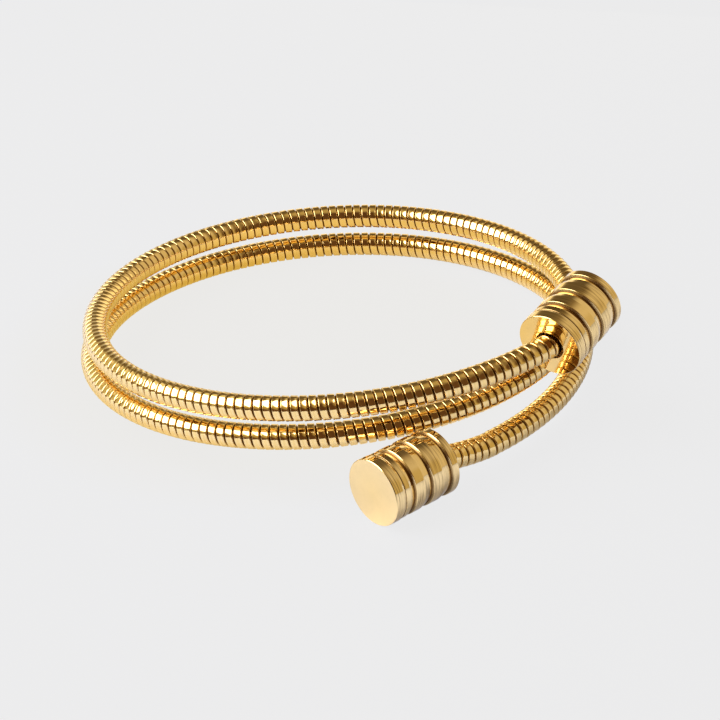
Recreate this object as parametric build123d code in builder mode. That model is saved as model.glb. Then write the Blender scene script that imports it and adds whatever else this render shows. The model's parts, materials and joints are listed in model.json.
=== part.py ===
"""Springy coil bangle: one flexible tube wound a little over two turns, with a turned cap on each end.

Origin on the coil's axis, on the surface that the bangle rests on. +Z up, -Y towards the lower cap.
Bearings are seen from above, counter-clockwise from +X, and grow along the tube from its lower end.
"""

import os
from collections import namedtuple
from math import cos, radians, sin, tan

from build123d import *

# Flexible tube
tube_radius = 1.5
tube_wall = 0.5
lower_end = -62.0
upper_end = 679.1
arc_step = 29.0
arc_reach = 0.45

# Coil, before it leans
coil_radius = 29.57
coil_middle = 321.0
turn_pitch = 3.76
turn_shrink = 0.74
lower_drop = 1.39
lower_drop_start = 324.0
lower_flare = 2.2
lower_lift = 0.66
lower_flare_start = -11.0
upper_flare = 4.6
upper_lift = 1.05
upper_flare_start = 519.0

# Neck, which leaves the coil's lower end and rises to the lower cap
lower_neck_length = 5.74
lower_neck_outward = 11.5
lower_neck_rise = 12.25
neck_bend_radius = 7.0

# End caps
rim_radius = 4.1
cap_radius = 4.03
rim_width = 1.53
narrow_band_width = 1.48
wide_band_width = 2.6
widest_band_width = 2.97
collar_width = 1.12
groove_depth = 0.35
edge_chamfer = 0.12
lower_cap_outward = 12.1
lower_cap_dip = 0.7
upper_cap_inward = 4.9
upper_cap_rise = 10.7

# Sockets that hold the tube
socket_clearance = 0.03
socket_depth = 5.0
seat_gap = 0.05
mouth_clearance = 0.33
mouth_depth = 1.1

# Bands of a cap from its rim to its collar: each is full size at first, then tapers down to a sharp step
Band = namedtuple("Band", "radius width full_size_share step_depth_share")
bands = [
    Band(radius=rim_radius, width=rim_width, full_size_share=0.8, step_depth_share=0.4),
    Band(radius=cap_radius, width=narrow_band_width, full_size_share=0.5, step_depth_share=1.0),
    Band(radius=cap_radius, width=wide_band_width, full_size_share=0.55, step_depth_share=1.0),
    Band(radius=cap_radius, width=widest_band_width, full_size_share=0.55, step_depth_share=1.0),
]
cap_length = sum(band.width for band in bands) + collar_width


def tail_share(bearing, start, end):
    """How far a bearing lies along a tail that begins at start, squared so that it leaves the coil smoothly."""
    return max(0.0, (bearing - start) / (end - start)) ** 2


def coil_radius_at(bearing):
    turns = (bearing - coil_middle) / 360.0
    flare_out = upper_flare * tail_share(bearing, upper_flare_start, upper_end)
    flare_out += lower_flare * tail_share(bearing, lower_flare_start, lower_end)
    return coil_radius - turn_shrink * turns + flare_out


def coil_height_at(bearing):
    turns = (bearing - coil_middle) / 360.0
    lift = upper_lift * tail_share(bearing, upper_flare_start, upper_end)
    lift += lower_lift * tail_share(bearing, lower_flare_start, lower_end)
    drop = lower_drop * tail_share(bearing, lower_drop_start, lower_end)
    return turn_pitch * turns + lift - drop


def level_point(bearing, outward=1.0):
    """A point of the coil's centreline before the coil leans, or outside it by a factor."""
    radius = coil_radius_at(bearing) * outward
    return Vector(radius * cos(radians(bearing)), radius * sin(radians(bearing)), coil_height_at(bearing))


def heading(bearing, rise):
    """The direction that looks along a bearing and climbs by an angle."""
    flat = cos(radians(rise))
    return Vector(flat * cos(radians(bearing)), flat * sin(radians(bearing)), sin(radians(rise)))


# From the coil's lower end along the neck to the mouth of the lower cap, and from there along the cap
lower_neck = heading(lower_end - 90 + lower_neck_outward, lower_neck_rise) * lower_neck_length
lower_heading = heading(lower_end - 90 + lower_cap_outward, -lower_cap_dip)
upper_heading = heading(upper_end + 90 + upper_cap_inward, upper_cap_rise)

# The bangle lies on the rim of its lower cap and on the far side of its lowest turn, so its coil leans back
lean_axis = Axis((0, 0, 0), (-sin(radians(lower_end)), cos(radians(lower_end)), 0))
far_side = [level_point(lower_end + 180 + offset) for offset in range(-120, 61, 3)]
rim_underside = lower_neck.Z + lower_heading.Z * (cap_length - edge_chamfer)
rim_underside -= rim_radius * cos(radians(lower_cap_dip))
coil_lean = 0.0
for pass_number in range(12):
    tube_underside = min(point.rotate(lean_axis, coil_lean).Z for point in far_side) - tube_radius
    cap_underside = level_point(lower_end).rotate(lean_axis, coil_lean).Z + rim_underside
    coil_lean -= (tube_underside - cap_underside) / radians(2 * coil_radius)
rest_height = -level_point(lower_end).rotate(lean_axis, coil_lean).Z - rim_underside


def coil_point(bearing, outward=1.0):
    """A point of the coil's centreline as the bangle rests."""
    return level_point(bearing, outward).rotate(lean_axis, coil_lean) + Vector(0, 0, rest_height)


lower_mouth = coil_point(lower_end) + lower_neck
upper_mouth = coil_point(upper_end)

# Centreline of the tube: straight in both sockets, a fine polygon round the coil, tangent arcs at its corners
tube_reach = socket_depth - seat_gap
step_count = round((upper_end - lower_end) / arc_step)
step = (upper_end - lower_end) / step_count
corner_outward = 1 / cos(radians(step / 2))
route = [lower_mouth + lower_heading * tube_reach, lower_mouth, coil_point(lower_end)]
route += [coil_point(lower_end + step * (number + 0.5), corner_outward) for number in range(step_count)]
route += [upper_mouth, upper_mouth + upper_heading * tube_reach]

runs = [(end - start).length for start, end in zip(route, route[1:])]
turns = [(b - a).get_angle(c - b) for a, b, c in zip(route, route[1:], route[2:])]
corner_radii = [arc_reach * min(pair) / tan(radians(turn / 2)) for pair, turn in zip(zip(runs, runs[1:]), turns)]
corner_radii[0] = min(neck_bend_radius, corner_radii[0])
corner_radii[-1] = min(neck_bend_radius, corner_radii[-1])
print("lean", round(coil_lean, 3), "rest height", round(rest_height, 4))
print("arc radii", [round(radius, 1) for radius in corner_radii])

with BuildPart() as flexible_tube:
    with BuildLine() as centreline:
        FilletPolyline(*route, radius=corner_radii)
    with BuildSketch(Plane(origin=route[0], z_dir=-lower_heading)):
        Circle(tube_radius)
        Circle(tube_radius - tube_wall, mode=Mode.SUBTRACT)
    sweep(path=centreline.line)
flexible_tube.part.label = "flexible_tube"
tube_length = centreline.wires()[0].length
print("tube length", round(tube_length, 2), "volume", round(flexible_tube.part.volume, 2))


def barrel_outline():
    """Half section of a cap: distance from its axis, then distance from its rim face."""
    outline = [(0, 0), (rim_radius - edge_chamfer, 0), (rim_radius, edge_chamfer)]
    band_start = 0.0
    for band in bands:
        band_end = band_start + band.width
        outline.append((band.radius, band_start + band.width * band.full_size_share))
        outline.append((band.radius - groove_depth * band.step_depth_share, band_end))
        outline.append((cap_radius, band_end))
        band_start = band_end
    outline += [(cap_radius, cap_length - edge_chamfer), (cap_radius - edge_chamfer, cap_length), (0, cap_length)]
    return outline


def end_cap(rim_centre, towards_collar, mouth, into_cap):
    """A turned barrel with a stepped socket that takes the tube from its mouth inwards."""
    axis = Plane(origin=rim_centre, z_dir=towards_collar)
    section_plane = Plane(origin=rim_centre, x_dir=axis.x_dir, z_dir=-axis.y_dir)
    with BuildPart() as cap:
        with BuildSketch(section_plane):
            with BuildLine():
                Polyline(*barrel_outline(), close=True)
            make_face()
        revolve(axis=Axis(rim_centre, towards_collar))
        with Locations(Plane(origin=mouth, z_dir=-into_cap)):
            CounterBoreHole(
                radius=tube_radius + socket_clearance,
                counter_bore_radius=tube_radius + mouth_clearance,
                counter_bore_depth=mouth_depth,
                depth=socket_depth,
            )
    return cap


# The tube enters the lower cap at its collar and the upper cap at its rim, so the bands read the same way
lower_end_cap = end_cap(lower_mouth + lower_heading * cap_length, -lower_heading, lower_mouth, lower_heading)
lower_end_cap.part.label = "lower_end_cap"
upper_end_cap = end_cap(upper_mouth, upper_heading, upper_mouth, upper_heading)
upper_end_cap.part.label = "upper_end_cap"

os.makedirs("parts", exist_ok=True)
for piece in (flexible_tube, lower_end_cap, upper_end_cap):
    export_step(piece.part, f"parts/{piece.part.label}.step")
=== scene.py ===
"""Springy coil bangle in polished gold: a seamed tube wound into a coil, with a turned cap on each end.

Metres throughout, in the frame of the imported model: +Z up, the bangle lying on z = 0, bearings from +X.
The coil's sizes follow the part's source, and the caps' places and the coil's axis come from its mounts.
"""

import json
import math
from collections import namedtuple

import bpy
import numpy as np
from bpy.props import FloatProperty, FloatVectorProperty, IntProperty, PointerProperty
from bpy.types import Operator, Panel, PropertyGroup
from mathutils import Matrix, Vector


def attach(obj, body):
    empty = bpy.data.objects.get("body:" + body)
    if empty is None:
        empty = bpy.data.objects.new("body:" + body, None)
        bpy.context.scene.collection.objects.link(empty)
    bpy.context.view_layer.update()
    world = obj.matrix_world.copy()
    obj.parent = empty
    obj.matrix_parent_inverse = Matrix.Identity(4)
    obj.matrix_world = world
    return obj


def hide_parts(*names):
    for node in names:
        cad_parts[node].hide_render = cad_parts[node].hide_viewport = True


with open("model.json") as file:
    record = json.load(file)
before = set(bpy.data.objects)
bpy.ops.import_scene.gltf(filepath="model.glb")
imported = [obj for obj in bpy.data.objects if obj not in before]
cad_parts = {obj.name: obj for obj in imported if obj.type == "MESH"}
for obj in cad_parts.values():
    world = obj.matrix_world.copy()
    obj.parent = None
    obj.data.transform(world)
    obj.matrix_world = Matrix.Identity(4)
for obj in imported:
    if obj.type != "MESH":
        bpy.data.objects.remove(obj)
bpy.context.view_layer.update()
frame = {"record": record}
mounts = {mount["name"]: mount for mount in frame["record"]["mounts"]}

bl_info = {
    "name": "Coil Bangle",
    "version": (1, 0, 0),
    "blender": (4, 5, 0),
    "location": "3D View > Sidebar > Bangle",
    "description": "Dresses a coil bangle: seamed flexible tube, turned end caps and a plain studio",
    "category": "Add Mesh",
}


def length(name, description, default):
    return FloatProperty(name=name, description=description, default=default, precision=6, unit="LENGTH")


def angle(name, description, default):
    return FloatProperty(name=name, description=description, default=math.radians(default), subtype="ANGLE")


def share(name, description, default):
    return FloatProperty(name=name, description=description, default=default, min=0, max=1, subtype="FACTOR")


def colour(name, description, default):
    return FloatVectorProperty(
        name=name, description=description, default=(*default, 1), size=4, min=0, max=1, subtype="COLOR"
    )


def position(name, description, default):
    return FloatVectorProperty(
        name=name, description=description, default=default, precision=6, unit="LENGTH"
    )


class BangleTube(PropertyGroup):
    """Sizes of the flexible tube and of the coil that it is wound into"""

    tube_radius: length("Tube Radius", "Outer radius of the tube", 0.0015)
    tube_wall: length("Tube Wall", "From the tube's outside to its bore", 0.0005)
    seam_pitch: length("Seam Pitch", "Length of tube from one turn of the strip to the next", 0.00107)
    seam_width: length("Seam Width", "Gap between two turns of the strip", 0.00014)
    seam_depth: length("Seam Depth", "How deep the gap is", 0.00028)
    shoulder_width: length("Shoulder Width", "Rounding at both edges of the strip", 0.00013)
    dish_depth: length("Dish Depth", "How far the strip is hollowed between its edges", 0.000016)
    strip_lean: angle("Strip Lean", "Lean of every turn of the strip towards the tube's lower end", 2.2)
    strip_unevenness: angle("Strip Unevenness", "How far turns of the strip tip from their neighbours", 0.9)
    sides_round: IntProperty(name="Sides Round", description="Faces round the tube", default=34, min=8)

    lower_end: angle("Lower End", "Bearing at which the coil gives way to the lower neck", -62.0)
    upper_end: angle("Upper End", "Bearing of the upper cap's mouth", 679.1)
    coil_radius: length("Coil Radius", "Radius of the coil at its middle", 0.02957)
    coil_middle: angle("Coil Middle", "Bearing at which the coil has its own radius and height", 321.0)
    turn_pitch: length("Turn Pitch", "Climb in one turn", 0.00376)
    turn_shrink: length("Turn Shrink", "Radius that is lost in one turn", 0.00074)
    lower_drop: length("Lower Drop", "Further fall of the lower turn at its end", 0.00139)
    lower_drop_start: angle("Lower Drop Start", "Bearing at which that fall starts", 324.0)
    lower_flare: length("Lower Flare", "How far the lower tail leaves the coil", 0.0022)
    lower_lift: length("Lower Lift", "How far the lower tail rises", 0.00066)
    lower_flare_start: angle("Lower Flare Start", "Bearing at which it leaves", -11.0)
    upper_flare: length("Upper Flare", "How far the upper tail leaves the coil", 0.0046)
    upper_lift: length("Upper Lift", "How far the upper tail rises", 0.00105)
    upper_flare_start: angle("Upper Flare Start", "Bearing at which it leaves", 519.0)
    neck_bend_radius: length("Neck Bend Radius", "Bend of the tube at a cap's mouth", 0.007)
    lower_neck_length: length("Lower Neck Length", "From the coil's lower end to the lower cap", 0.00574)
    lower_neck_rise: angle("Lower Neck Rise", "Rise of that neck towards the cap", 12.25)
    lower_neck_blend: length("Lower Neck Blend", "Reach of the bend between the coil and that neck", 0.0026)


class BangleCaps(PropertyGroup):
    """Sizes of the two turned caps"""

    rim_radius: length("Rim Radius", "Radius of the band next to the rim", 0.0041)
    cap_radius: length("Cap Radius", "Radius of the other bands and of the collar", 0.00403)
    rim_width: length("Rim Width", "Band next to the rim", 0.00153)
    narrow_band_width: length("Narrow Band", "Second band from the rim", 0.00148)
    wide_band_width: length("Wide Band", "Third band from the rim", 0.0026)
    widest_band_width: length("Widest Band", "Fourth band from the rim", 0.00297)
    collar_width: length("Collar Width", "Plain collar at the other end", 0.00112)
    groove_depth: length("Groove Depth", "Depth of the groove at the end of a band", 0.0003)
    step_width: length("Step Width", "Width of the slope that climbs out of a groove", 0.00019)
    edge_chamfer: length("Edge Chamfer", "Chamfer of both outer edges", 0.00007)
    edge_rounding: length("Edge Rounding", "Wear that rounds every edge", 0.00004)
    mouth_radius: length("Mouth Radius", "Radius of the wide mouth of the socket", 0.00183)
    mouth_depth: length("Mouth Depth", "Depth of that mouth", 0.0011)
    socket_radius: length("Socket Radius", "Radius of the socket behind it", 0.00153)
    socket_depth: length("Socket Depth", "Depth of the socket from the cap's face", 0.005)
    seat_gap: length("Seat Gap", "From the tube's end to the bottom of the socket", 0.00005)
    sides_round: IntProperty(name="Sides Round", description="Faces round a cap", default=160, min=16)


class BangleFinish(PropertyGroup):
    """Colours and finish of the gold"""

    gold: colour("Gold", "Colour of polished gold", (1.0, 0.73, 0.29))
    cap_gold: colour("Cap Gold", "Colour of the caps", (1.0, 0.75, 0.34))
    worn_gold: colour("Worn Gold", "Paler gold of rubbed edges", (1.0, 0.78, 0.42))
    # Deep colour of tool marks and scuffs, also used for the painted shade in seams, grooves and socket
    # mouths
    deep_gold: colour("Deep Gold And Painted Shade", "Darkened gold in seams and grooves", (0.15, 0.07, 0.02))
    tube_roughness: share("Tube Roughness", "Roughness of the strip", 0.06)
    cap_roughness: share("Cap Roughness", "Roughness of the turned caps", 0.055)
    drawn_line: length("Drawn Line", "Spacing of the faint lines along the strip", 0.00004)
    turned_line: length("Turned Line", "Spacing of the tool marks on the caps", 0.00005)
    drawn_line_depth: length("Drawn Line Depth", "Depth of the lines along the strip", 0.0000006)
    drawn_line_tone: share("Drawn Line Tone", "How much darker the lines along the strip are", 0.1)
    turned_line_tone: share("Turned Line Tone", "How much darker the tool marks are", 0.7)
    turned_line_depth: length("Turned Line Depth", "Depth of the tool marks", 0.0000014)


class BangleStage(PropertyGroup):
    """Floor, light and camera"""

    floor: colour("Floor", "Pale floor as the camera sees it", (0.833, 0.832, 0.832))
    floor_paint: colour("Floor Paint", "Colour of the floor where light falls on it", (0.56, 0.585, 0.70))
    floor_light: colour("Floor Light", "Even light of the floor in the metal", (0.20, 0.225, 0.30))
    # Painted bounce light: a warm glow on the floor inside the coil, in place of part of its lit paint, set
    # by this and the settings below
    floor_warmth: colour("Painted Bounce Glow", "The same inside the coil, next to the gold", (0.62, 0.48, 0.15))
    floor_kept: share("Floor Kept", "How much of its paint the floor keeps there", 0.36)
    warm_middle: position("Bounce Glow Middle", "Middle of the warm part of the floor", (-0.007, 0.002, 0.0))
    warmth_near: length("Bounce Glow Near", "Radius within which the floor is warm", 0.026)
    warmth_far: length("Bounce Glow Far", "Radius past which it is not", 0.037)
    floor_shadow: share("Floor Shadow", "How much of the shadow on the floor the camera sees", 0.05)
    floor_size: length("Floor Size", "Side of the floor", 8.0)
    softbox_bearing: angle("Softbox Bearing", "Bearing of the round softbox from the bangle", 184.0)
    softbox_rise: angle("Softbox Rise", "Angle of the softbox above the floor", 42.3)
    softbox_distance: length("Softbox Distance", "From the bangle to the softbox", 0.36)
    softbox_spread: angle("Softbox Spread", "Half the angle that the softbox fills", 28.5)
    softbox_radiance: FloatProperty(
        name="Softbox Brightness", description="Radiance of the softbox", default=5.0
    )
    card_bearing: angle("Card Bearing", "Bearing of the pale card behind the bangle", 74.0)
    card_distance: length("Card Distance", "From the middle of the bangle to the card", 0.115)
    card_width: length("Card Width", "Length of the card along the floor", 0.11)
    card_height: length("Card Height", "How high the card stands", 0.046)
    card_colour: colour("Card Colour", "Light that the card gives", (0.55, 0.46, 0.28))
    camera_aim: position("Camera Aim", "Point that the camera looks at", (0.002966, 0.000180, 0.000090))
    camera_distance: length("Camera Distance", "From the camera to that point", 0.40291)
    camera_rise: angle("Camera Rise", "Angle of the camera above the floor", 28.519)
    camera_roll: angle("Camera Roll", "Turn of the camera about its own line of sight", -3.337)
    camera_pan: angle("Camera Pan", "Turn of the camera from +Y towards +X", -0.123)
    lens: FloatProperty(name="Lens", description="Focal length", default=162.49, unit="CAMERA")


# Mesh helpers


def scene_object(name, data):
    """A new object in the scene's own collection."""
    made = bpy.data.objects.new(name, data)
    bpy.context.scene.collection.objects.link(made)
    return made


def mesh_piece(name, places, faces, normals, masks):
    """An object from arrays of vertices and faces, with a normal and each mask's value at every vertex."""
    mesh = bpy.data.meshes.new(name)
    mesh.from_pydata(places, [], faces)
    mesh.validate()
    for mask, values in masks.items():
        values = np.asarray(values, np.float32)
        mesh.attributes.new(mask, "FLOAT", "POINT").data.foreach_set("value", values)
    mesh.polygons.foreach_set("use_smooth", np.ones(len(mesh.polygons), bool))
    mesh.normals_split_custom_set_from_vertices(normals)
    mesh.update()
    return scene_object(name, mesh)


def grid_faces(index):
    """Four-sided faces between neighbouring rows and columns of vertex numbers."""
    corners = (index[:-1, :-1], index[:-1, 1:], index[1:, 1:], index[1:, :-1])
    return np.stack([corner.ravel() for corner in corners], axis=1)


def closed_rows(index):
    """Rows of vertex numbers that end where they began."""
    return np.hstack((index, index[:, :1]))


def tidy_faces(quads):
    """Drops faces that have closed up, and turns those with one corner doubled into triangles."""
    closing = (quads == np.roll(quads, 1, axis=1)).any(axis=1)
    faces = [tuple(face) for face in quads[~closing].tolist()]
    for face in quads[closing].tolist():
        corners = tuple(dict.fromkeys(face))
        if len(corners) == 3:
            faces.append(corners)
    return faces


def unit(vectors):
    return vectors / np.linalg.norm(vectors, axis=-1, keepdims=True)


def interpolate(where, run, values):
    """Points or directions at distances along a run on which some are known."""
    return np.stack([np.interp(where, run, values[:, axis]) for axis in range(3)], axis=-1)


def bend(start, corner, stop, count):
    """Points of a bend that leaves start towards the corner and comes from the corner to stop."""
    passed = np.linspace(0, 1, count)[:, None]
    return start * (1 - passed) ** 2 + corner * 2 * passed * (1 - passed) + stop * passed**2


def side_angles(sides):
    """Angles of the sides round a tube or a cap."""
    return np.arange(sides) * math.tau / sides


# Places of the caps and the line of the tube

COIL_POINTS = 6000
BEND_POINTS = 40
POINT_SPACING = 0.00002

# The direction of the tube is taken over this many points each way, and at the coil's ends over this bearing
SMOOTHED_POINTS = 30
BEARING_STEP = 0.002

TubeFrames = namedtuple("TubeFrames", "run middle direction upward outward")


def cap_place(caps, mount_name):
    """Centre of a cap's mouth, and the direction from there into the cap."""
    mount = mounts[mount_name]
    into_cap = Vector(mount["axis"])
    return Vector(mount["pos_m"]) - into_cap * cap_length(caps), into_cap


def cap_length(caps):
    return sum(band.width for band in cap_bands(caps)) + caps.collar_width


def tail_share(bearings, start, end):
    """How far a bearing lies along a tail from start to end, squared so that it leaves the coil smoothly."""
    return np.clip((bearings - start) / (end - start), 0, None) ** 2


def level_coil(tube, bearings):
    """Centres of the tube before the coil leans."""
    turns = (bearings - tube.coil_middle) / math.tau
    upper_tail = tail_share(bearings, tube.upper_flare_start, tube.upper_end)
    lower_tail = tail_share(bearings, tube.lower_flare_start, tube.lower_end)
    dropped = tail_share(bearings, tube.lower_drop_start, tube.lower_end)
    radius = tube.coil_radius - tube.turn_shrink * turns
    radius += tube.upper_flare * upper_tail + tube.lower_flare * lower_tail
    height = tube.turn_pitch * turns - tube.lower_drop * dropped
    height += tube.upper_lift * upper_tail + tube.lower_lift * lower_tail
    return np.stack((radius * np.cos(bearings), radius * np.sin(bearings), height), axis=1)


def resting_coil(tube, caps, bearings):
    """Centres of the tube as the bangle lies on its lower cap and on its lowest turn."""
    coil_axis = Vector(mounts["wrist_opening"]["axis"])
    lean = np.array(Vector((0, 0, 1)).rotation_difference(coil_axis).to_matrix())
    lower_mouth, _ = cap_place(caps, "lower_cap_face")
    end_height = lower_mouth.z - tube.lower_neck_length * math.sin(tube.lower_neck_rise)
    rest_height = end_height - (level_coil(tube, np.array([tube.lower_end])) @ lean.T)[0, 2]
    return level_coil(tube, bearings) @ lean.T + (0, 0, rest_height)


def neck_points(tube, caps, mouth, into_cap, away):
    """From the bottom of a socket to its mouth, and round a short bend to the direction away from it."""
    turn = math.acos(np.clip(np.dot(-away, into_cap), -1, 1))
    reach = tube.neck_bend_radius * math.tan(turn / 2)
    bottom = mouth + into_cap * (caps.socket_depth - caps.seat_gap)
    straight = np.linspace(bottom, mouth + into_cap * reach, BEND_POINTS)
    return np.vstack((straight[:-1], bend(straight[-1], mouth, mouth + away * reach, BEND_POINTS)))


def coil_end(tube, caps, bearing, step):
    """A point of the coil, and the direction of the tube there as its bearing grows by step."""
    near = resting_coil(tube, caps, bearing + np.array([0.0, step]))
    return near[0], unit(near[1] - near[0])


def tube_line(tube, caps):
    """Evenly spaced points along the middle of the tube, from the bottom of one socket to the other's."""
    lower_mouth, into_lower = (np.array(vector) for vector in cap_place(caps, "lower_cap_face"))
    upper_mouth, into_upper = (np.array(vector) for vector in cap_place(caps, "upper_cap_face"))
    lower_end, along_coil = coil_end(tube, caps, tube.lower_end, BEARING_STEP)
    _, back_along = coil_end(tube, caps, tube.upper_end, -BEARING_STEP)
    along_neck = unit(lower_end - lower_mouth)
    lower_neck = neck_points(tube, caps, lower_mouth, into_lower, along_neck)
    upper_neck = neck_points(tube, caps, upper_mouth, into_upper, back_along)
    blend = tube.lower_neck_blend
    lower_bend = bend(lower_end - along_neck * blend, lower_end, lower_end + along_coil * blend, BEND_POINTS)
    upper_reach = np.linalg.norm(upper_neck[-1] - upper_mouth)
    coil_start = tube.lower_end + blend / tube.coil_radius
    coil_stop = tube.upper_end - upper_reach / tube.coil_radius
    coil = resting_coil(tube, caps, np.linspace(coil_start, coil_stop, COIL_POINTS))
    rough = np.vstack((lower_neck, lower_bend, coil[1:-1], upper_neck[::-1]))
    run = np.concatenate(([0], np.cumsum(np.linalg.norm(np.diff(rough, axis=0), axis=1))))
    even = np.linspace(0, run[-1], int(run[-1] / POINT_SPACING))
    return even, interpolate(even, run, rough)


def tube_frames(tube, caps):
    """Distance along the tube, its middle, direction, upward side and outward side, closely spaced."""
    run, middle = tube_line(tube, caps)
    ahead = np.minimum(np.arange(len(run)) + SMOOTHED_POINTS, len(run) - 1)
    behind = np.maximum(np.arange(len(run)) - SMOOTHED_POINTS, 0)
    direction = unit(middle[ahead] - middle[behind])
    coil_axis = np.array(mounts["wrist_opening"]["axis"])
    upward = unit(coil_axis - direction * (direction @ coil_axis)[:, None])
    return TubeFrames(run, middle, direction, upward, outward=np.cross(direction, upward))


# Flexible tube

StripRow = namedtuple("StripRow", "offset depth lean shade edge")
SEAM_LEAN = 1.0
SHOULDER_LEAN = 1.4
# Painted shade on the shoulders of a seam, and the edge wear there
SHOULDER_SHADE = 0.25
SHOULDER_EDGE = 0.3

# Turns of the strip from one ring of the bore to the next
BORE_STEP = 3.75

# Waves that tip the turns of the strip, each as its angle from one turn to the next and its start
TIPPING_WAVES = ((2.39, 0.0), (3.83, 1.1), (0.71, 0.4))


def strip_section(tube):
    """Rows across one turn of the strip, which leaves a seam on both sides. Each row's shade is painted
    shade, full at a seam's bottom.
    """
    half_width = (tube.seam_pitch - tube.seam_width) / 2
    flat_half = half_width - tube.shoulder_width
    dish_lean = 2 * tube.dish_depth / flat_half
    left = [
        StripRow(-half_width, tube.seam_depth, -SEAM_LEAN, shade=1.0, edge=0.0),
        StripRow(-half_width, tube.shoulder_width, -SHOULDER_LEAN, SHOULDER_SHADE, SHOULDER_EDGE),
        StripRow(-flat_half, 0.0, dish_lean, shade=0.0, edge=1.0),
    ]
    middle = StripRow(0.0, tube.dish_depth, lean=0.0, shade=0.0, edge=0.0)
    right = [row._replace(offset=-row.offset, lean=-row.lean) for row in reversed(left)]
    return np.array(left + [middle] + right)


def strip_tip(tube, strip_turn):
    """Angle by which the strip leans at each turn, a little unlike its neighbours."""
    waves = sum(np.sin(angle_on * strip_turn + start) for angle_on, start in TIPPING_WAVES)
    return -tube.strip_lean + tube.strip_unevenness * waves / 2


def spokes(tube, frames, along):
    """Directions from the middle of the tube to its sides, at distances along it."""
    around = side_angles(tube.sides_round)
    upward = interpolate(along, frames.run, frames.upward)
    outward = interpolate(along, frames.run, frames.outward)
    return upward * np.cos(around)[:, None] + outward * np.sin(around)[:, None]


def wound_strip(tube, frames, section):
    """The strip in a right-handed helix, row by row: distances along the tube, places, normals and masks."""
    whole = frames.run[-1]
    turn_rows, sides = len(section), tube.sides_round
    row = np.arange((math.ceil(whole / tube.seam_pitch) + 2) * turn_rows)
    offset, depth, lean, shade, edge = section[row % turn_rows].T[..., None]
    strip_turn = (row // turn_rows - 1)[:, None] + np.arange(sides) / sides
    bend_stretch = 1 + tube.tube_radius / tube.coil_radius * np.sin(side_angles(sides))
    along = (strip_turn + 0.5) * tube.seam_pitch + offset / bend_stretch
    inside = (along > 0) & (along < whole)
    along = np.clip(along, 0, whole)
    tip = strip_tip(tube, strip_turn)
    depth = np.where(inside, depth - tip * offset, 0)
    lean = lean + np.where(inside, tip, 0)

    spoke = spokes(tube, frames, along)
    places = interpolate(along, frames.run, frames.middle) + spoke * (tube.tube_radius - depth)[..., None]
    normals = spoke * np.cos(lean)[..., None]
    normals += interpolate(along, frames.run, frames.direction) * np.sin(lean)[..., None]
    masks = {
        "painted_shade": np.where(inside, shade, 0),
        "edge": np.where(inside, edge, 0),
        "across": offset + np.zeros(sides),
    }
    return along, places, normals, masks


def strip_faces(rings, along, whole, turn_rows):
    """Faces of the wound strip. Rows past either end fold on to the end's ring, so their faces close up."""
    rings = np.where(along <= 0, rings[0], np.where(along >= whole, rings[-1], rings))
    wound = np.concatenate((rings[:-turn_rows], rings[turn_rows:, :1]), axis=1)
    return np.vstack((grid_faces(wound), grid_faces(rings[-turn_rows - 1 :])))


def tube_bore(tube, frames):
    """Places and normals of the rings that line the tube."""
    whole = frames.run[-1]
    along = np.linspace(0, whole, math.ceil(whole / (BORE_STEP * tube.seam_pitch)))[:, None]
    spoke = spokes(tube, frames, along)
    places = interpolate(along, frames.run, frames.middle) + spoke * (tube.tube_radius - tube.tube_wall)
    return places, -spoke


def without_spares(places, faces, normals, masks):
    """The same mesh without the vertices that no face uses."""
    used = np.unique([corner for face in faces for corner in face])
    renumbered = np.zeros(len(places), int)
    renumbered[used] = np.arange(len(used))
    faces = [tuple(renumbered[list(face)]) for face in faces]
    return places[used], faces, normals[used], {mask: values[used] for mask, values in masks.items()}


def seamed_tube(tube, caps):
    """The tube as its wound strip and its bore, with a ring that closes the wall at each end."""
    frames = tube_frames(tube, caps)
    section = strip_section(tube)
    along, strip, strip_normals, masks = wound_strip(tube, frames, section)
    bore, bore_normals = tube_bore(tube, frames)
    rings = np.arange(along.size + bore[..., 0].size).reshape(-1, tube.sides_round)
    strip_rings, bore_rings = rings[: len(along)], rings[len(along) :]
    quads = (
        strip_faces(strip_rings, along, frames.run[-1], len(section)),
        grid_faces(closed_rows(bore_rings))[:, ::-1],
        grid_faces(closed_rows(np.vstack((bore_rings[0], strip_rings[0])))),
        grid_faces(closed_rows(np.vstack((strip_rings[-1], bore_rings[-1])))),
    )
    faces = tidy_faces(np.vstack(quads))
    places = np.vstack((strip.reshape(-1, 3), bore.reshape(-1, 3)))
    normals = np.vstack((strip_normals.reshape(-1, 3), bore_normals.reshape(-1, 3)))
    bore_mask = np.zeros(bore_rings.size)
    masks = {mask: np.concatenate((values.ravel(), bore_mask)) for mask, values in masks.items()}
    return mesh_piece("seamed_tube", *without_spares(places, faces, normals, masks))


# Turned caps

CapBand = namedtuple("CapBand", "radius width full_size_share step_depth_share")
OutlinePoint = namedtuple("OutlinePoint", "radius along shade", defaults=(0.0,))

# Painted shade in a groove runs from this share of the taper before it to this share of the wall behind it
GROOVE_SHADE_START = 0.86
WALL_SHADE_END = 0.5
WALL_SHADE = 0.7

# The mouth of a socket carries painted shade from this many edge roundings inwards
MOUTH_SHADE_START = 3
MOUTH_SHADE = 0.9

# A rounding takes at most this share of the shorter side at its corner
ROUNDING_LIMIT = 0.4
ROUNDING_POINTS = 4


def cap_bands(caps):
    """Bands from the rim to the collar: each is full size at first, then tapers down to a sharp step."""
    radius = caps.cap_radius
    return (
        CapBand(caps.rim_radius, caps.rim_width, full_size_share=0.8, step_depth_share=0.4),
        CapBand(radius, caps.narrow_band_width, full_size_share=0.5, step_depth_share=1.0),
        CapBand(radius, caps.wide_band_width, full_size_share=0.55, step_depth_share=1.0),
        CapBand(radius, caps.widest_band_width, full_size_share=0.55, step_depth_share=1.0),
    )


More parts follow.
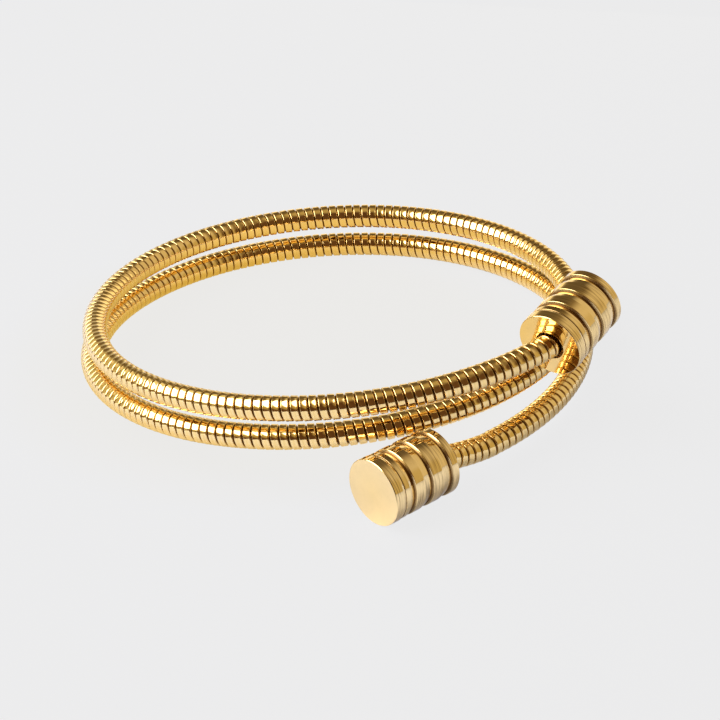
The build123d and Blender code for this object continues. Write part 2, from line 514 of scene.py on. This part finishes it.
def barrel_outline(caps):
    """Outside of a cap from its rim to its collar, with the painted shade of its grooves."""
    outline = [
        OutlinePoint(caps.rim_radius - caps.edge_chamfer, 0),
        OutlinePoint(caps.rim_radius, caps.edge_chamfer),
    ]
    band_start = 0.0
    for band in cap_bands(caps):
        band_end = band_start + band.width
        taper_start = band_start + band.width * band.full_size_share
        depth = caps.groove_depth * band.step_depth_share
        near_groove = taper_start + (band_end - taper_start) * GROOVE_SHADE_START
        bottom_radius = band.radius - depth
        wall_height = caps.cap_radius - bottom_radius
        wall_width = caps.step_width * band.step_depth_share
        shade_radius = bottom_radius + wall_height * WALL_SHADE_END
        outline += [
            OutlinePoint(band.radius, taper_start),
            OutlinePoint(band.radius - depth * GROOVE_SHADE_START, near_groove),
            OutlinePoint(bottom_radius, band_end, shade=1.0),
            OutlinePoint(shade_radius, band_end + wall_width * WALL_SHADE_END, WALL_SHADE),
            OutlinePoint(caps.cap_radius, band_end + wall_width),
        ]
        band_start = band_end
    whole = cap_length(caps)
    return outline + [
        OutlinePoint(caps.cap_radius, whole - caps.edge_chamfer),
        OutlinePoint(caps.cap_radius - caps.edge_chamfer, whole),
    ]


def cap_outline(caps, mouth_at_rim):
    """The whole half section of a cap, from the middle of its plain face to the bottom of its socket."""
    whole = cap_length(caps)
    socket = [
        OutlinePoint(caps.mouth_radius, 0),
        OutlinePoint(caps.mouth_radius, MOUTH_SHADE_START * caps.edge_rounding, MOUTH_SHADE),
        OutlinePoint(caps.mouth_radius, caps.mouth_depth, MOUTH_SHADE),
        OutlinePoint(caps.socket_radius, caps.mouth_depth),
        OutlinePoint(caps.socket_radius, caps.socket_depth),
        OutlinePoint(0, caps.socket_depth),
    ]
    barrel = barrel_outline(caps)
    if mouth_at_rim:
        return [OutlinePoint(0, whole)] + barrel[::-1] + socket
    return [OutlinePoint(0, 0)] + barrel + [point._replace(along=whole - point.along) for point in socket]


def square_to(along):
    """The direction that lies a quarter turn clockwise from each direction of a flat outline."""
    return np.stack((along[..., 1], -along[..., 0]), axis=-1)


def worn_outline(outline, rounding):
    """Points, normals, edge wear and painted shade of an outline whose corners are rounded."""
    corners = [np.array((point.radius, point.along), float) for point in outline]
    turned = np.linspace(0, 1, ROUNDING_POINTS)[:, None]
    points, normals, wear, shade = [corners[:1]], [], [0.0], [0.0]
    for before, corner, after, point in zip(corners, corners[1:], corners[2:], outline[1:]):
        incoming, outgoing = corner - before, after - corner
        shorter = min(np.linalg.norm(incoming), np.linalg.norm(outgoing))
        reach = min(rounding, ROUNDING_LIMIT * shorter)
        convex = incoming[0] * outgoing[1] - incoming[1] * outgoing[0] > 0
        incoming, outgoing = unit(incoming), unit(outgoing)
        points.append(bend(corner - incoming * reach, corner, corner + outgoing * reach, ROUNDING_POINTS))
        normals.append(square_to(unit(incoming * (1 - turned) + outgoing * turned)))
        wear += [float(convex)] * ROUNDING_POINTS
        shade += [point.shade] * ROUNDING_POINTS
    first, last = square_to(unit(np.array((corners[1] - corners[0], corners[-1] - corners[-2]))))
    points = np.vstack((*points, corners[-1:]))
    return points, np.vstack((first, *normals, last)), np.array(wear + [0.0]), np.array(shade + [0.0])


def turned_cap(name, caps, mount_name, mouth_at_rim):
    """A cap turned about its own Z axis, then set on the end of the tube."""
    points, normals, wear, shade = worn_outline(cap_outline(caps, mouth_at_rim), caps.edge_rounding)
    if mouth_at_rim:
        normals = -normals
    sides = caps.sides_round
    around = side_angles(sides)
    round_about = np.stack((np.cos(around), np.sin(around)), axis=1)

    def turn(flat):
        """Turns an outline round the axis. Its two ends stay single and come first."""
        rings = np.empty((len(flat), sides, 3))
        rings[..., :2] = flat[:, None, :1] * round_about
        rings[..., 2] = flat[:, 1:]
        return np.vstack((rings[0, :1], rings[-1, :1], rings[1:-1].reshape(-1, 3)))

    places, all_normals = turn(points), turn(normals)
    all_normals[0], all_normals[1] = (0, 0, normals[0, 1]), (0, 0, normals[-1, 1])
    rings = closed_rows(2 + np.arange((len(points) - 2) * sides).reshape(-1, sides))
    faces = [tuple(face) for face in grid_faces(rings).tolist()]
    faces += [(0, rings[0, side + 1], rings[0, side]) for side in range(sides)]
    faces += [(1, rings[-1, side], rings[-1, side + 1]) for side in range(sides)]
    if mouth_at_rim:
        faces = [face[::-1] for face in faces]
    masks = {
        "painted_shade": np.concatenate(([0, 0], np.repeat(shade[1:-1], sides))),
        "edge": np.concatenate(([0, 0], np.repeat(wear[1:-1], sides))),
    }
    piece = mesh_piece(name, places, faces, all_normals, masks)
    mouth, into_cap = cap_place(caps, mount_name)
    towards_collar = into_cap if mouth_at_rim else -into_cap
    rim_centre = mouth if mouth_at_rim else mouth + into_cap * cap_length(caps)
    turned_towards = towards_collar.to_track_quat("Z", "Y").to_matrix().to_4x4()
    piece.matrix_world = Matrix.Translation(rim_centre) @ turned_towards
    return piece


# Shader nodes

FLOAT, VECTOR, COLOUR = "NodeSocketFloat", "NodeSocketVector", "NodeSocketColor"

# A Mix node's sockets for colours, by number because its other kinds have the same names
MIX_FIRST, MIX_SECOND, MIX_RESULT = 6, 7, 2


def feed(tree, socket, value):
    """Links an input to a socket, or sets it to a plain value."""
    if isinstance(value, bpy.types.NodeSocket):
        tree.links.new(value, socket)
    else:
        socket.default_value = value


def add_node(tree, kind, sockets=None, **settings):
    """A new node with its settings by name, and its input sockets by name or number."""
    node = tree.nodes.new(kind)
    for name, value in settings.items():
        setattr(node, name, value)
    for name, value in (sockets or {}).items():
        feed(tree, node.inputs[name], value)
    return node


def node_group(name, inputs, outputs):
    """An empty shader node group. Inputs are given as (kind, name, default), and outputs as (kind, name)."""
    group = bpy.data.node_groups.new(name, "ShaderNodeTree")
    for kind, socket_name, default in inputs:
        socket = group.interface.new_socket(socket_name, in_out="INPUT", socket_type=kind)
        if default is not None:
            socket.default_value = default
    for kind, socket_name in outputs:
        group.interface.new_socket(socket_name, in_out="OUTPUT", socket_type=kind)
    return group, group.nodes.new("NodeGroupInput").outputs, group.nodes.new("NodeGroupOutput").inputs


def math_node(tree, operation, *values):
    """Output of a Math node whose inputs are sockets or numbers."""
    node = add_node(tree, "ShaderNodeMath", operation=operation)
    for socket, value in zip(node.inputs, values):
        feed(tree, socket, value)
    return node.outputs[0]


def mix_colours(tree, factor, first, second):
    """Output of a Mix node for two colours, each a socket or a plain colour."""
    node = add_node(tree, "ShaderNodeMix", {"Factor": factor}, data_type="RGBA")
    feed(tree, node.inputs[MIX_FIRST], first)
    feed(tree, node.inputs[MIX_SECOND], second)
    return node.outputs[MIX_RESULT]


def mix_shaders(tree, factor, first, second):
    """Output of a Mix Shader node."""
    node = add_node(tree, "ShaderNodeMixShader")
    for socket, value in zip(node.inputs, (factor, first, second)):
        feed(tree, socket, value)
    return node.outputs[0]


def noise(tree, vector, scale, detail, roughness=0.5):
    """Value of a noise texture."""
    sockets = {"Vector": vector, "Scale": scale, "Detail": detail, "Roughness": roughness}
    return add_node(tree, "ShaderNodeTexNoise", sockets).outputs["Fac"]


def spread(tree, value, low, high):
    """The value stretched so that low becomes 0 and high becomes 1."""
    sockets = {"Value": value, "From Min": low, "From Max": high}
    return add_node(tree, "ShaderNodeMapRange", sockets).outputs[0]


def mesh_value(tree, name):
    """The value that a mesh carries under a name."""
    return add_node(tree, "ShaderNodeAttribute", attribute_name=name).outputs["Fac"]


# Gold

Patches = namedtuple("Patches", "scale detail roughness low high")
MARKED = Patches(scale=260, detail=2, roughness=0.5, low=0.36, high=0.62)
SCUFFED = Patches(scale=420, detail=5, roughness=0.65, low=0.42, high=0.72)

# How quickly lines and marks change along their length, and what sets the marks apart
FINE_DRIFT = 180
STRONG_DRIFT = 260
STRONG_SPACING = 3.4
STRONG_WEIGHT = 1.6
LINES_LEVEL = 0.4
MARK_LOW, MARK_HIGH = 0.44, 0.62
LINE_DETAIL = 2

# How much wear and scuffs show in the gold, and what dulls its polish
EDGE_WEAR = 0.5
SCUFF_TONE = 0.06
PLAIN_DULLNESS = 0.8
SCUFF_DULLNESS = 0.5
LINE_DULLNESS = 0.4
RECESS_DULLNESS = 0.3

# Faces that look further along a cap's axis than this are plain, without turning marks
TURNED_BELOW = 0.9


def lines_across(group, across, spacing, place, drift):
    """Noise that changes quickly with the distance across and slowly with place."""
    counted = add_node(group, "ShaderNodeCombineXYZ", {"X": math_node(group, "DIVIDE", across, spacing)})
    slow = add_node(group, "ShaderNodeVectorMath", {0: place, "Scale": drift}, operation="SCALE")
    sockets = {0: slow.outputs[0], 1: counted.outputs[0]}
    joined = add_node(group, "ShaderNodeVectorMath", sockets, operation="ADD")
    return noise(group, joined.outputs[0], 1, LINE_DETAIL)


def patchy(tree, place, patches):
    """Soft patches of noise: 1 inside them and 0 between them."""
    cloud = noise(tree, place, patches.scale, patches.detail, patches.roughness)
    return spread(tree, cloud, patches.low, patches.high)


def tool_lines_group():
    """Fine lines that run one way over a surface, with stronger marks among them, and scuffs of handling."""
    if found := bpy.data.node_groups.get("Tool Lines"):
        return found
    group, given, out = node_group(
        "Tool Lines",
        inputs=((FLOAT, "Across", 0.0), (VECTOR, "Place", None), (FLOAT, "Spacing", 0.0001)),
        outputs=((FLOAT, "Lines"), (FLOAT, "Marks"), (FLOAT, "Scuffs")),
    )
    across, place, spacing = given["Across"], given["Place"], given["Spacing"]
    fine = lines_across(group, across, spacing, place, FINE_DRIFT)
    strong_spacing = math_node(group, "MULTIPLY", spacing, STRONG_SPACING)
    strong = lines_across(group, across, strong_spacing, place, STRONG_DRIFT)
    lines = math_node(group, "MULTIPLY_ADD", strong, STRONG_WEIGHT, fine)
    feed(group, out["Lines"], math_node(group, "MULTIPLY", lines, LINES_LEVEL))
    marks = spread(group, strong, MARK_LOW, MARK_HIGH)
    feed(group, out["Marks"], math_node(group, "MULTIPLY", marks, patchy(group, place, MARKED)))
    feed(group, out["Scuffs"], patchy(group, place, SCUFFED))
    return group


def worn_gold_group():
    """Gold darkened by painted shade in recesses, deeper in marks, paler on rubbed edges and duller where it
    is handled.
    """
    if found := bpy.data.node_groups.get("Worn Gold"):
        return found
    group, given, out = node_group(
        "Worn Gold",
        inputs=(
            (COLOUR, "Gold", None),
            (COLOUR, "Worn", None),
            (COLOUR, "Deep", None),
            (FLOAT, "Lines", 0.5),
            (FLOAT, "Marks", 0.0),
            (FLOAT, "Mark Tone", 0.1),
            (FLOAT, "Scuffs", 0.0),
            (FLOAT, "Polish", 0.1),
        ),
        outputs=((COLOUR, "Colour"), (FLOAT, "Roughness")),
    )
    # Painted shade: the mesh's shade mask darkens the gold towards the deep colour in seams, grooves and
    # socket mouths
    painted_shade = mesh_value(group, "painted_shade")
    rubbed = math_node(group, "MULTIPLY", mesh_value(group, "edge"), EDGE_WEAR)
    tone = mix_colours(group, rubbed, given["Gold"], given["Worn"])
    marked = math_node(group, "MULTIPLY", given["Marks"], given["Mark Tone"])
    scuffed = math_node(group, "MULTIPLY", given["Scuffs"], SCUFF_TONE)
    for darkened in (marked, scuffed, painted_shade):
        tone = mix_colours(group, darkened, tone, given["Deep"])
    feed(group, out["Colour"], tone)
    dull = math_node(group, "MULTIPLY_ADD", given["Scuffs"], SCUFF_DULLNESS, PLAIN_DULLNESS)
    dull = math_node(group, "MULTIPLY_ADD", given["Lines"], LINE_DULLNESS, dull)
    dull = math_node(group, "MULTIPLY", dull, given["Polish"])
    feed(group, out["Roughness"], math_node(group, "MULTIPLY_ADD", painted_shade, RECESS_DULLNESS, dull))
    return group


def gold_material(name, finish, gold, roughness, spacing, depth, tone, across_of):
    """Polished gold with fine lines.

    across_of gives the place, the distance across the lines, and the part that carries marks, if not all.
    """
    material = bpy.data.materials.new(name)
    material.use_nodes = True
    tree = material.node_tree
    place, across, lined = across_of(tree)
    sockets = {"Spacing": spacing, "Place": place, "Across": across}
    lines = add_node(tree, "ShaderNodeGroup", sockets, node_tree=tool_lines_group())
    marks = lines.outputs["Marks"]
    if lined is not None:
        marks = math_node(tree, "MULTIPLY", marks, lined)
    sockets = {
        "Gold": gold,
        "Worn": finish.worn_gold,
        "Deep": finish.deep_gold,
        "Lines": lines.outputs["Lines"],
        "Marks": marks,
        "Mark Tone": tone,
        "Scuffs": lines.outputs["Scuffs"],
        "Polish": roughness,
    }
    worn_and_shaded = add_node(tree, "ShaderNodeGroup", sockets, node_tree=worn_gold_group())
    bump = add_node(tree, "ShaderNodeBump", {"Distance": depth, "Height": lines.outputs["Lines"]})
    sockets = {
        "Metallic": 1.0,
        "Base Color": worn_and_shaded.outputs["Colour"],
        "Roughness": worn_and_shaded.outputs["Roughness"],
        "Normal": bump.outputs["Normal"],
    }
    for socket, value in sockets.items():
        feed(tree, tree.nodes["Principled BSDF"].inputs[socket], value)
    return material


def across_strip(tree):
    """Place in space and the distance from the middle of the strip, which carries marks all over."""
    return add_node(tree, "ShaderNodeTexCoord").outputs["Object"], mesh_value(tree, "across"), None


def across_turning(tree):
    """Place on a cap, the distance along its axis, and the part that is turned rather than faced."""
    coordinates = add_node(tree, "ShaderNodeTexCoord").outputs
    place = add_node(tree, "ShaderNodeSeparateXYZ", {0: coordinates["Object"]})
    facing = add_node(tree, "ShaderNodeSeparateXYZ", {0: coordinates["Normal"]})
    turned = math_node(tree, "LESS_THAN", math_node(tree, "ABSOLUTE", facing.outputs["Z"]), TURNED_BELOW)
    return coordinates["Object"], place.outputs["Z"], turned


# Stage

SENSOR_MILLIMETRES = 36
CLIP_START, CLIP_END = 0.01, 20

# The room that the metal mirrors. A glow fills the sky out to its near angle and fades away at its far one
Glow = namedtuple("Glow", "bearing rise near far colour")
ROOM = (0.25, 0.178, 0.09, 1)
ROOM_GLOWS = (
    Glow(bearing=86, rise=40, near=6, far=34, colour=(0.145, 0.106, 0.058, 1)),
    Glow(bearing=90, rise=-90, near=93, far=112, colour=(0.76, 0.68, 0.50, 1)),
    Glow(bearing=182, rise=-2, near=8, far=28, colour=(0.28, 0.20, 0.10, 1)),
    Glow(bearing=0, rise=90, near=6, far=26, colour=(0.50, 0.39, 0.19, 1)),
    Glow(bearing=24, rise=20, near=26, far=46, colour=(0.68, 0.56, 0.36, 1)),
    Glow(bearing=-22, rise=12, near=14, far=34, colour=(0.55, 0.42, 0.19, 1)),
    Glow(bearing=130, rise=4, near=12, far=30, colour=(0.64, 0.54, 0.28, 1)),
    Glow(bearing=-120, rise=24, near=26, far=42, colour=(0.14, 0.068, 0.033, 1)),
    Glow(bearing=-90, rise=26, near=27, far=43, colour=(0.10, 0.046, 0.020, 1)),
    Glow(bearing=-64, rise=25, near=24, far=40, colour=(0.12, 0.060, 0.026, 1)),
    Glow(bearing=-148, rise=34, near=12, far=30, colour=(0.50, 0.38, 0.15, 1)),
    Glow(bearing=133, rise=38, near=8, far=20, colour=(1.0, 0.88, 0.58, 1)),
    Glow(bearing=184, rise=43, near=26, far=34, colour=(1.4, 1.2, 0.85, 1)),
)


def floor_material(stage):
    """The camera sees the floor nearly flat, with a faint shadow. The metal mirrors it as it is lit, with an
    even light of its own, and inside the coil with a warm painted glow of light bounced off the gold in
    place of much of its lit paint.
    """
    material = bpy.data.materials.new("pale_floor")
    material.use_nodes = True
    tree = material.node_tree
    tree.nodes.clear()
    place = add_node(tree, "ShaderNodeTexCoord").outputs["Object"]
    sockets = {0: place, 1: stage.warm_middle}
    from_middle = add_node(tree, "ShaderNodeVectorMath", sockets, operation="DISTANCE").outputs["Value"]
    # Painted light: inside the coil a warm glow stands for light bounced off the gold, and less of the lit
    # paint is kept there
    inside = spread(tree, from_middle, stage.warmth_far, stage.warmth_near)
    kept_paint = [channel * stage.floor_kept for channel in stage.floor_paint[:3]] + [1]
    paint_colour = mix_colours(tree, inside, stage.floor_paint, kept_paint)
    light_colour = mix_colours(tree, inside, stage.floor_light, stage.floor_warmth)
    paint = add_node(tree, "ShaderNodeBsdfDiffuse", {"Color": paint_colour})
    light = add_node(tree, "ShaderNodeEmission", {"Color": light_colour})
    lit = add_node(tree, "ShaderNodeAddShader", {0: paint.outputs[0], 1: light.outputs[0]})
    plain = add_node(tree, "ShaderNodeEmission", {"Color": stage.floor})
    seen = add_node(tree, "ShaderNodeLightPath").outputs["Is Camera Ray"]
    flattened = math_node(tree, "MULTIPLY", seen, 1 - stage.floor_shadow)
    surface = mix_shaders(tree, flattened, lit.outputs[0], plain.outputs[0])
    add_node(tree, "ShaderNodeOutputMaterial", {"Surface": surface})
    return material


def stage_floor(stage):
    """A plain pale floor under the bangle."""
    half = stage.floor_size / 2
    corners = [(-half, -half, 0), (half, -half, 0), (half, half, 0), (-half, half, 0)]
    mesh = bpy.data.meshes.new("floor")
    mesh.from_pydata(corners, [], [(0, 1, 2, 3)])
    mesh.materials.append(floor_material(stage))
    floor = scene_object("floor", mesh)


def heading(bearing, rise):
    """The direction that looks along a bearing and climbs by an angle."""
    flat = math.cos(rise)
    return Vector((flat * math.cos(bearing), flat * math.sin(bearing), math.sin(rise)))


def glow_mask(tree, direction, glow):
    """How nearly a direction of the sky points at a glow: 1 within its near angle, 0 past its far one."""
    sockets = {0: direction, 1: heading(math.radians(glow.bearing), math.radians(glow.rise))}
    dot = add_node(tree, "ShaderNodeVectorMath", sockets, operation="DOT_PRODUCT").outputs["Value"]
    far, near = math.cos(math.radians(glow.far)), math.cos(math.radians(glow.near))
    sockets = {"Value": dot, "From Min": far, "From Max": near}
    return add_node(tree, "ShaderNodeMapRange", sockets, interpolation_type="SMOOTHSTEP").outputs[0]


def stage_world(stage):
    """A dim warm room with soft glows for the metal to mirror. The camera sees plain grey."""
    world = bpy.data.worlds.new("studio")
    bpy.context.scene.world = world
    world.use_nodes = True
    tree = world.node_tree
    tree.nodes.clear()
    direction = add_node(tree, "ShaderNodeTexCoord").outputs["Generated"]
    mirrored = ROOM
    for glow in ROOM_GLOWS:
        mirrored = mix_colours(tree, glow_mask(tree, direction, glow), mirrored, glow.colour)
    room = add_node(tree, "ShaderNodeBackground", {"Color": mirrored})
    plain = add_node(tree, "ShaderNodeBackground", {"Color": stage.floor})
    seen = add_node(tree, "ShaderNodeLightPath").outputs["Is Camera Ray"]
    surface = mix_shaders(tree, seen, room.outputs[0], plain.outputs[0])
    add_node(tree, "ShaderNodeOutputWorld", {"Surface": surface})


def area_light(name, shape, size, area, radiance):
    """An even light that the camera doesn't see, from its size, its area and its radiance."""
    light = bpy.data.lights.new(name, "AREA")
    light.shape = shape
    light.size, light.size_y = size
    light.energy = radiance * math.pi * area
    lamp = scene_object(name, light)
    lamp.visible_camera = False
    return lamp


def stage_softbox(stage):
    """One large round softbox on the left."""
    radius = stage.softbox_distance * math.tan(stage.softbox_spread)
    size = (2 * radius, 2 * radius)
    softbox = area_light("softbox", "DISK", size, math.pi * radius**2, stage.softbox_radiance)
    towards = heading(stage.softbox_bearing, stage.softbox_rise)
    softbox.location = towards * stage.softbox_distance
    softbox.rotation_euler = towards.to_track_quat("Z", "Y").to_euler()


def stage_card(stage):
    """A pale card that stands on the floor behind the bangle and lights the backs of its turns."""
    size = (stage.card_width, stage.card_height)
    card = area_light("card", "RECTANGLE", size, stage.card_width * stage.card_height, radiance=1)
    card.data.color = stage.card_colour[:3]
    towards = heading(stage.card_bearing, rise=0)
    card.location = towards * stage.card_distance + Vector((0, 0, stage.card_height / 2))
    card.rotation_euler = towards.to_track_quat("Z", "Y").to_euler()


def stage_camera(stage):
    """The camera, at the angle and distance from which the bangle was seen."""
    camera = scene_object("camera", bpy.data.cameras.new("camera"))
    camera.data.lens = stage.lens
    camera.data.sensor_width = SENSOR_MILLIMETRES
    camera.data.clip_start, camera.data.clip_end = CLIP_START, CLIP_END
    pan = Matrix.Rotation(-stage.camera_pan, 4, "Z")
    tilt = Matrix.Rotation(math.pi / 2 - stage.camera_rise, 4, "X")
    roll = Matrix.Rotation(stage.camera_roll, 4, "Z")
    back = Matrix.Translation((0, 0, stage.camera_distance))
    camera.matrix_world = Matrix.Translation(stage.camera_aim) @ pan @ (tilt @ roll) @ back
    bpy.context.scene.camera = camera


# Operators


class BANGLE_OT_flexible_tube(Operator):
    """Add the spirally seamed tube"""

    bl_idname = "bangle.flexible_tube"
    bl_label = "Flexible Tube"

    def execute(self, context):
        scene = context.scene
        finish = scene.bangle_finish
        piece = seamed_tube(scene.bangle_tube, scene.bangle_caps)
        material = gold_material(
            "strip_gold",
            finish,
            gold=finish.gold,
            roughness=finish.tube_roughness,
            spacing=finish.drawn_line,
            depth=finish.drawn_line_depth,
            tone=finish.drawn_line_tone,
            across_of=across_strip,
        )
        piece.data.materials.append(material)
        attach(piece, "root")
        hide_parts("flexible_tube")
        return {"FINISHED"}


class BANGLE_OT_end_caps(Operator):
    """Add both turned caps"""

    bl_idname = "bangle.end_caps"
    bl_label = "End Caps"

    def execute(self, context):
        scene = context.scene
        finish = scene.bangle_finish
        material = gold_material(
            "turned_gold",
            finish,
            gold=finish.cap_gold,
            roughness=finish.cap_roughness,
            spacing=finish.turned_line,
            depth=finish.turned_line_depth,
            tone=finish.turned_line_tone,
            across_of=across_turning,
        )
        for name, mount_name, mouth_at_rim in (
            ("lower_turned_cap", "lower_cap_face", False),
            ("upper_turned_cap", "upper_cap_face", True),
        ):
            piece = turned_cap(name, scene.bangle_caps, mount_name, mouth_at_rim)
            piece.data.materials.append(material)
            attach(piece, "root")
            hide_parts(mount_name.replace("cap_face", "end_cap"))
        return {"FINISHED"}


class BANGLE_OT_stage(Operator):
    """Add the floor, the studio light and the camera"""

    bl_idname = "bangle.stage"
    bl_label = "Stage"

    def execute(self, context):
        stage = context.scene.bangle_stage
        stage_floor(stage)
        stage_world(stage)
        stage_softbox(stage)
        stage_card(stage)
        stage_camera(stage)
        context.scene.view_settings.view_transform = "Standard"
        return {"FINISHED"}


class VIEW3D_PT_bangle(Panel):
    """Lists the bangle's operators and all its settings"""

    bl_label = "Bangle"
    bl_space_type = "VIEW_3D"
    bl_region_type = "UI"
    bl_category = "Bangle"

    def draw(self, context):
        layout = self.layout
        for operator in OPERATORS:
            layout.operator(operator.bl_idname)
        for settings, group in SETTINGS.items():
            column = layout.column(heading=group.__name__)
            for name in group.__annotations__:
                column.prop(getattr(context.scene, settings), name)


SETTINGS = {
    "bangle_tube": BangleTube,
    "bangle_caps": BangleCaps,
    "bangle_finish": BangleFinish,
    "bangle_stage": BangleStage,
}
OPERATORS = (BANGLE_OT_flexible_tube, BANGLE_OT_end_caps, BANGLE_OT_stage)


def register():
    for group in (*SETTINGS.values(), *OPERATORS, VIEW3D_PT_bangle):
        bpy.utils.register_class(group)
    for settings, group in SETTINGS.items():
        setattr(bpy.types.Scene, settings, PointerProperty(type=group))


def unregister():
    for settings in SETTINGS:
        delattr(bpy.types.Scene, settings)
    for group in (VIEW3D_PT_bangle, *reversed(OPERATORS), *reversed(SETTINGS.values())):
        bpy.utils.unregister_class(group)


def main():
    register()
    bpy.ops.bangle.flexible_tube()
    bpy.ops.bangle.end_caps()
    bpy.ops.bangle.stage()


if __name__ == "__main__":
    main()
